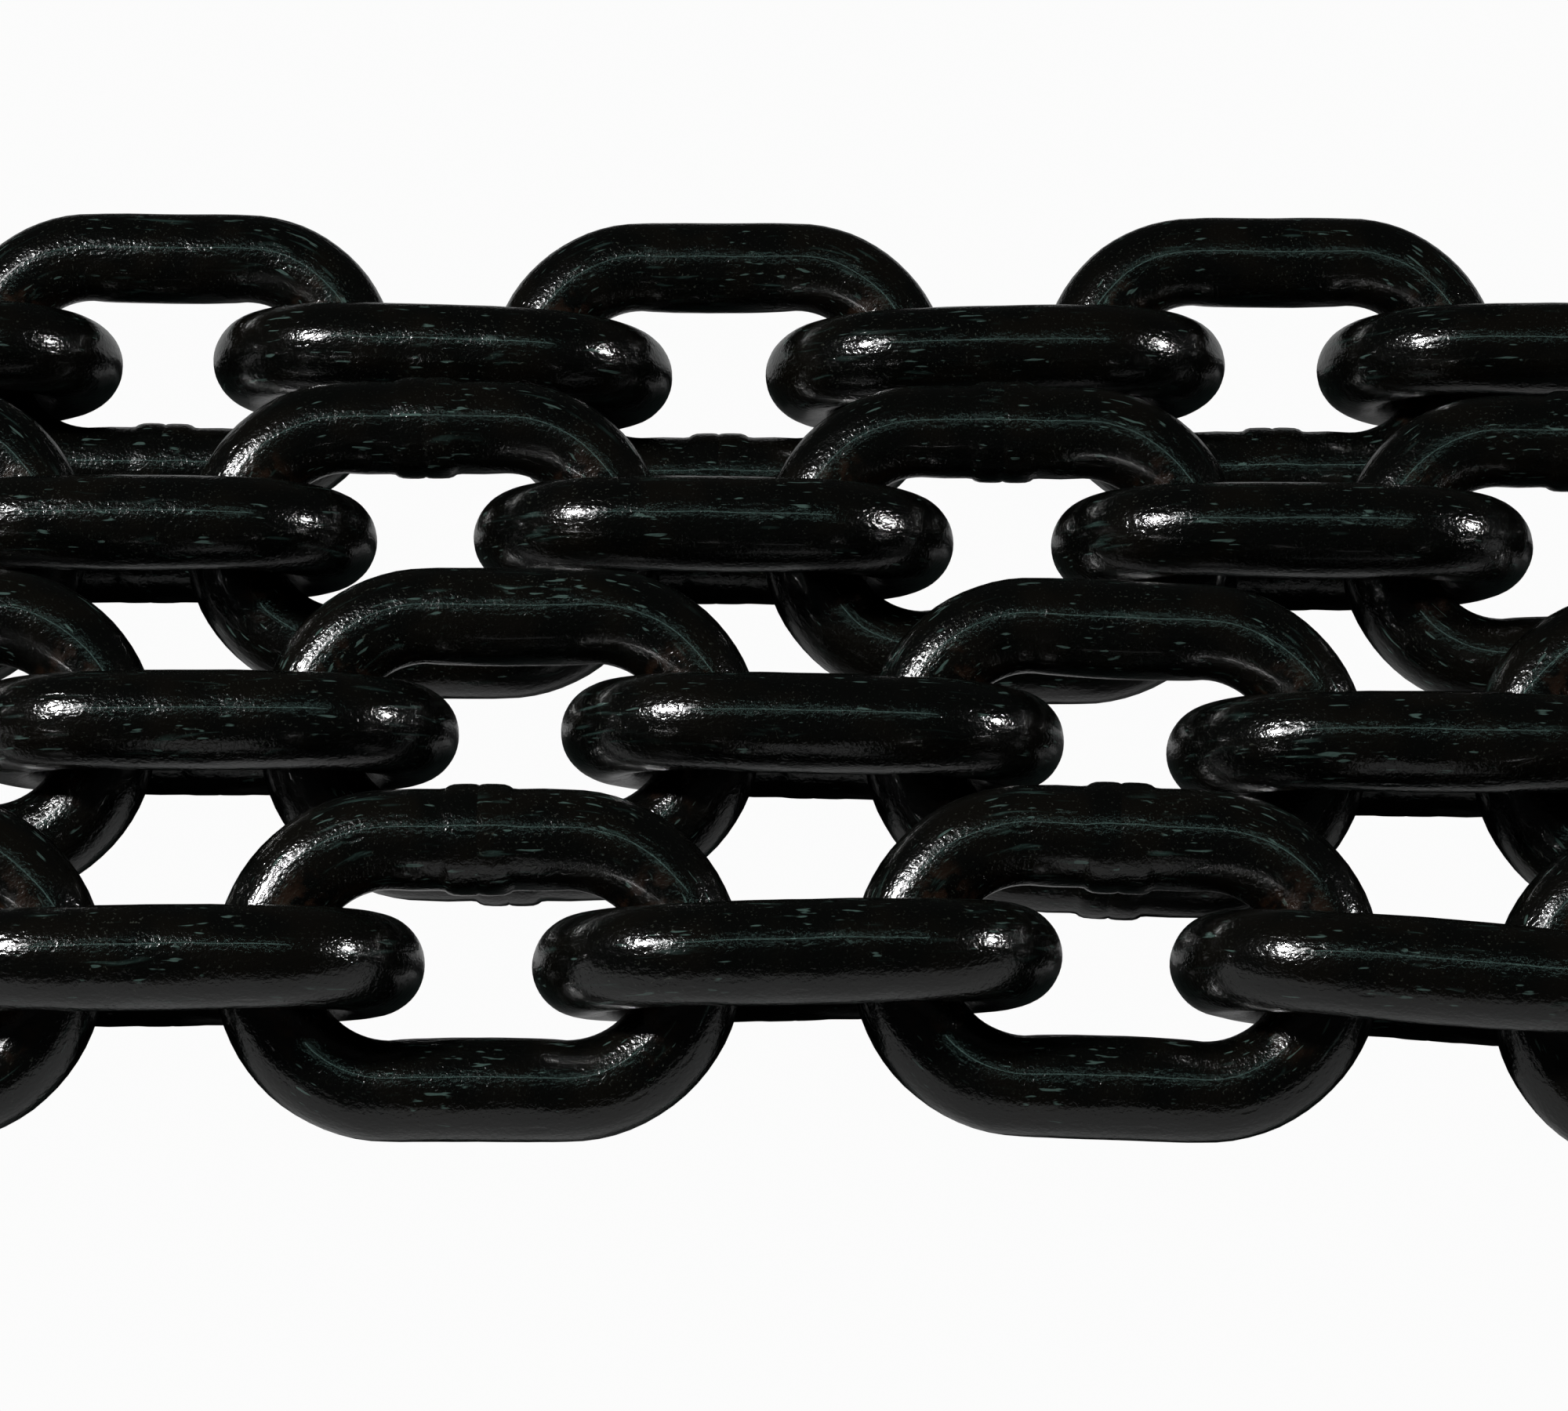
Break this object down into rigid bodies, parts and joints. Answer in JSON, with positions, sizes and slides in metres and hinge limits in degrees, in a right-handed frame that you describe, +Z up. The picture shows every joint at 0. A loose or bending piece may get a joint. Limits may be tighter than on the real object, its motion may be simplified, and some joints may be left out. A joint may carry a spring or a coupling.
{
  "type": "binder chain",
  "caption": "Plain welded short-link chain for tying down loads, folded back on itself in parallel strands, with an open eye at either end; each link tilts in the next.",
  "frame": {"origin": "middle of the footprint, on the surface that the chain lies on", "axes": "+X along the strands, +Y towards the rear strand, +Z up"},
  "size_m": [0.3102, 0.1372, 0.0477],
  "materials": {
    "black_paint": "glossy black paint over welded steel, with fine scuffs"
  },
  "bodies": {
    "strand_1_link_01": {"strand_1_link_01": "black_paint"},
    "strand_1_link_02": {"strand_1_link_02": "black_paint"},
    "strand_1_link_03": {"strand_1_link_03": "black_paint"},
    "strand_1_link_04": {"strand_1_link_04": "black_paint"},
    "strand_1_link_05": {"strand_1_link_05": "black_paint"},
    "strand_1_link_06": {"strand_1_link_06": "black_paint"},
    "strand_1_link_07": {"strand_1_link_07": "black_paint"},
    "strand_1_link_08": {"strand_1_link_08": "black_paint"},
    "strand_1_link_09": {"strand_1_link_09": "black_paint"},
    "turn_1_2_link_1": {"turn_1_2_link_1": "black_paint"},
    "turn_1_2_link_2": {"turn_1_2_link_2": "black_paint"},
    "strand_2_link_01": {"strand_2_link_01": "black_paint"},
    "strand_2_link_02": {"strand_2_link_02": "black_paint"},
    "strand_2_link_03": {"strand_2_link_03": "black_paint"},
    "strand_2_link_04": {"strand_2_link_04": "black_paint"},
    "strand_2_link_05": {"strand_2_link_05": "black_paint"},
    "strand_2_link_06": {"strand_2_link_06": "black_paint"},
    "strand_2_link_07": {"strand_2_link_07": "black_paint"},
    "turn_2_3_link_1": {"turn_2_3_link_1": "black_paint"},
    "turn_2_3_link_2": {"turn_2_3_link_2": "black_paint"},
    "strand_3_link_01": {"strand_3_link_01": "black_paint"},
    "strand_3_link_02": {"strand_3_link_02": "black_paint"},
    "strand_3_link_03": {"strand_3_link_03": "black_paint"},
    "strand_3_link_04": {"strand_3_link_04": "black_paint"},
    "strand_3_link_05": {"strand_3_link_05": "black_paint"},
    "strand_3_link_06": {"strand_3_link_06": "black_paint"},
    "strand_3_link_07": {"strand_3_link_07": "black_paint"},
    "turn_3_4_link_1": {"turn_3_4_link_1": "black_paint"},
    "turn_3_4_link_2": {"turn_3_4_link_2": "black_paint"},
    "strand_4_link_01": {"strand_4_link_01": "black_paint"},
    "strand_4_link_02": {"strand_4_link_02": "black_paint"},
    "strand_4_link_03": {"strand_4_link_03": "black_paint"},
    "strand_4_link_04": {"strand_4_link_04": "black_paint"},
    "strand_4_link_05": {"strand_4_link_05": "black_paint"},
    "strand_4_link_06": {"strand_4_link_06": "black_paint"},
    "strand_4_link_07": {"strand_4_link_07": "black_paint"},
    "strand_4_link_08": {"strand_4_link_08": "black_paint"}
  },
  "joints": [
    {"name": "strand_1_hinge_01_02", "type": "hinge", "parent": "strand_1_link_02", "child": "strand_1_link_01", "pos_m": [-0.11349, 0.05467, 0.0141], "axis": [0, 1, 0], "range_deg": [-15, 15]},
    {"name": "strand_1_hinge_02_03", "type": "hinge", "parent": "strand_1_link_03", "child": "strand_1_link_02", "pos_m": [-0.08229, 0.05472, 0.0141], "axis": [0, 1, 0], "range_deg": [-15, 15]},
    {"name": "strand_1_hinge_03_04", "type": "hinge", "parent": "strand_1_link_04", "child": "strand_1_link_03", "pos_m": [-0.0511, 0.05422, 0.0141], "axis": [0, 1, 0], "range_deg": [-15, 15]},
    {"name": "strand_1_hinge_04_05", "type": "hinge", "parent": "strand_1_link_05", "child": "strand_1_link_04", "pos_m": [-0.01995, 0.05236, 0.0141], "axis": [0, 1, 0], "range_deg": [-15, 15]},
    {"name": "strand_1_hinge_05_06", "type": "hinge", "parent": "strand_1_link_06", "child": "strand_1_link_05", "pos_m": [0.01126, 0.0524, 0.0141], "axis": [0, 1, 0], "range_deg": [-15, 15]},
    {"name": "strand_1_hinge_06_07", "type": "hinge", "parent": "strand_1_link_07", "child": "strand_1_link_06", "pos_m": [0.04244, 0.05368, 0.0141], "axis": [0, 1, 0], "range_deg": [-15, 15]},
    {"name": "strand_1_hinge_07_08", "type": "hinge", "parent": "strand_1_link_08", "child": "strand_1_link_07", "pos_m": [0.07364, 0.05359, 0.0141], "axis": [0, 1, 0], "range_deg": [-15, 15]},
    {"name": "strand_1_hinge_08_09", "type": "hinge", "parent": "strand_1_link_09", "child": "strand_1_link_08", "pos_m": [0.10484, 0.05359, 0.01432], "axis": [0, 1, 0], "range_deg": [-15, 15]},
    {"name": "turn_1_2_entry_hinge", "type": "hinge", "parent": "turn_1_2_link_1", "child": "strand_1_link_09", "pos_m": [0.1416, 0.05763, 0.0109], "axis": [0, 1, 0], "range_deg": [-1, 7]},
    {"name": "turn_1_2_middle_hinge", "type": "hinge", "parent": "turn_1_2_link_2", "child": "turn_1_2_link_1", "pos_m": [0.13475, 0.02689, 0.02392], "axis": [0, 1, 0], "range_deg": [-1, 12]},
    {"name": "turn_1_2_exit_hinge", "type": "hinge", "parent": "strand_2_link_01", "child": "turn_1_2_link_2", "pos_m": [0.1046, 0.0198, 0.01309], "axis": [0, 1, 0], "range_deg": [-18, 7]},
    {"name": "strand_2_hinge_01_02", "type": "hinge", "parent": "strand_2_link_02", "child": "strand_2_link_01", "pos_m": [0.07337, 0.01916, 0.01386], "axis": [0, 1, 0], "range_deg": [-15, 15]},
    {"name": "strand_2_hinge_02_03", "type": "hinge", "parent": "strand_2_link_03", "child": "strand_2_link_02", "pos_m": [0.04218, 0.01975, 0.0141], "axis": [0, 1, 0], "range_deg": [-15, 15]},
    {"name": "strand_2_hinge_03_04", "type": "hinge", "parent": "strand_2_link_04", "child": "strand_2_link_03", "pos_m": [0.01098, 0.0203, 0.0141], "axis": [0, 1, 0], "range_deg": [-15, 15]},
    {"name": "strand_2_hinge_04_05", "type": "hinge", "parent": "strand_2_link_05", "child": "strand_2_link_04", "pos_m": [-0.02021, 0.02089, 0.0141], "axis": [0, 1, 0], "range_deg": [-15, 15]},
    {"name": "strand_2_hinge_05_06", "type": "hinge", "parent": "strand_2_link_06", "child": "strand_2_link_05", "pos_m": [-0.05141, 0.02084, 0.0141], "axis": [0, 1, 0], "range_deg": [-15, 15]},
    {"name": "strand_2_hinge_06_07", "type": "hinge", "parent": "strand_2_link_07", "child": "strand_2_link_06", "pos_m": [-0.08261, 0.02079, 0.0141], "axis": [0, 1, 0], "range_deg": [-15, 15]},
    {"name": "turn_2_3_entry_hinge", "type": "hinge", "parent": "turn_2_3_link_1", "child": "strand_2_link_07", "pos_m": [-0.11804, 0.02523, 0.01032], "axis": [0, 1, 0], "range_deg": [-18, 4]},
    {"name": "turn_2_3_middle_hinge", "type": "hinge", "parent": "turn_2_3_link_1", "child": "turn_2_3_link_2", "pos_m": [-0.12571, -0.00059, 0.03522], "axis": [0, 1, 0], "range_deg": [-3, 2]},
    {"name": "turn_2_3_exit_hinge", "type": "hinge", "parent": "turn_2_3_link_2", "child": "strand_3_link_01", "pos_m": [-0.10354, -0.01231, 0.01287], "axis": [0, 1, 0], "range_deg": [-25, 7]},
    {"name": "strand_3_hinge_01_02", "type": "hinge", "parent": "strand_3_link_01", "child": "strand_3_link_02", "pos_m": [-0.07208, -0.01297, 0.0141], "axis": [0, 1, 0], "range_deg": [-15, 15]},
    {"name": "strand_3_hinge_02_03", "type": "hinge", "parent": "strand_3_link_02", "child": "strand_3_link_03", "pos_m": [-0.04088, -0.01302, 0.0141], "axis": [0, 1, 0], "range_deg": [-15, 15]},
    {"name": "strand_3_hinge_03_04", "type": "hinge", "parent": "strand_3_link_03", "child": "strand_3_link_04", "pos_m": [-0.00967, -0.01293, 0.0141], "axis": [0, 1, 0], "range_deg": [-15, 15]},
    {"name": "strand_3_hinge_04_05", "type": "hinge", "parent": "strand_3_link_04", "child": "strand_3_link_05", "pos_m": [0.02151, -0.01401, 0.0141], "axis": [0, 1, 0], "range_deg": [-15, 15]},
    {"name": "strand_3_hinge_05_06", "type": "hinge", "parent": "strand_3_link_05", "child": "strand_3_link_06", "pos_m": [0.05262, -0.01643, 0.0141], "axis": [0, 1, 0], "range_deg": [-15, 15]},
    {"name": "strand_3_hinge_06_07", "type": "hinge", "parent": "strand_3_link_06", "child": "strand_3_link_07", "pos_m": [0.08382, -0.01683, 0.0141], "axis": [0, 1, 0], "range_deg": [-15, 15]},
    {"name": "turn_3_4_entry_hinge", "type": "hinge", "parent": "strand_3_link_07", "child": "turn_3_4_link_1", "pos_m": [0.11796, -0.01401, 0.01068], "axis": [0, 1, 0], "range_deg": [-11, 12]},
    {"name": "turn_3_4_middle_hinge", "type": "hinge", "parent": "turn_3_4_link_1", "child": "turn_3_4_link_2", "pos_m": [0.13432, -0.03651, 0.03393], "axis": [0, 1, 0], "range_deg": [-3, 0]},
    {"name": "turn_3_4_exit_hinge", "type": "hinge", "parent": "turn_3_4_link_2", "child": "strand_4_link_01", "pos_m": [0.11317, -0.05468, 0.01387], "axis": [0, 1, 0], "range_deg": [-15, 20]},
    {"name": "strand_4_hinge_01_02", "type": "hinge", "parent": "strand_4_link_01", "child": "strand_4_link_02", "pos_m": [0.082, -0.05406, 0.0141], "axis": [0, 1, 0], "range_deg": [-15, 15]},
    {"name": "strand_4_hinge_02_03", "type": "hinge", "parent": "strand_4_link_02", "child": "strand_4_link_03", "pos_m": [0.05107, -0.04983, 0.0141], "axis": [0, 1, 0], "range_deg": [-15, 15]},
    {"name": "strand_4_hinge_03_04", "type": "hinge", "parent": "strand_4_link_03", "child": "strand_4_link_04", "pos_m": [0.0199, -0.04815, 0.0141], "axis": [0, 1, 0], "range_deg": [-15, 15]},
    {"name": "strand_4_hinge_04_05", "type": "hinge", "parent": "strand_4_link_04", "child": "strand_4_link_05", "pos_m": [-0.01128, -0.04957, 0.0141], "axis": [0, 1, 0], "range_deg": [-15, 15]},
    {"name": "strand_4_hinge_05_06", "type": "hinge", "parent": "strand_4_link_05", "child": "strand_4_link_06", "pos_m": [-0.04249, -0.04943, 0.0141], "axis": [0, 1, 0], "range_deg": [-15, 15]},
    {"name": "strand_4_hinge_06_07", "type": "hinge", "parent": "strand_4_link_06", "child": "strand_4_link_07", "pos_m": [-0.07368, -0.05007, 0.0141], "axis": [0, 1, 0], "range_deg": [-15, 15]},
    {"name": "strand_4_hinge_07_08", "type": "hinge", "parent": "strand_4_link_07", "child": "strand_4_link_08", "pos_m": [-0.10488, -0.05002, 0.0141], "axis": [0, 1, 0], "range_deg": [-15, 15]}
  ]
}
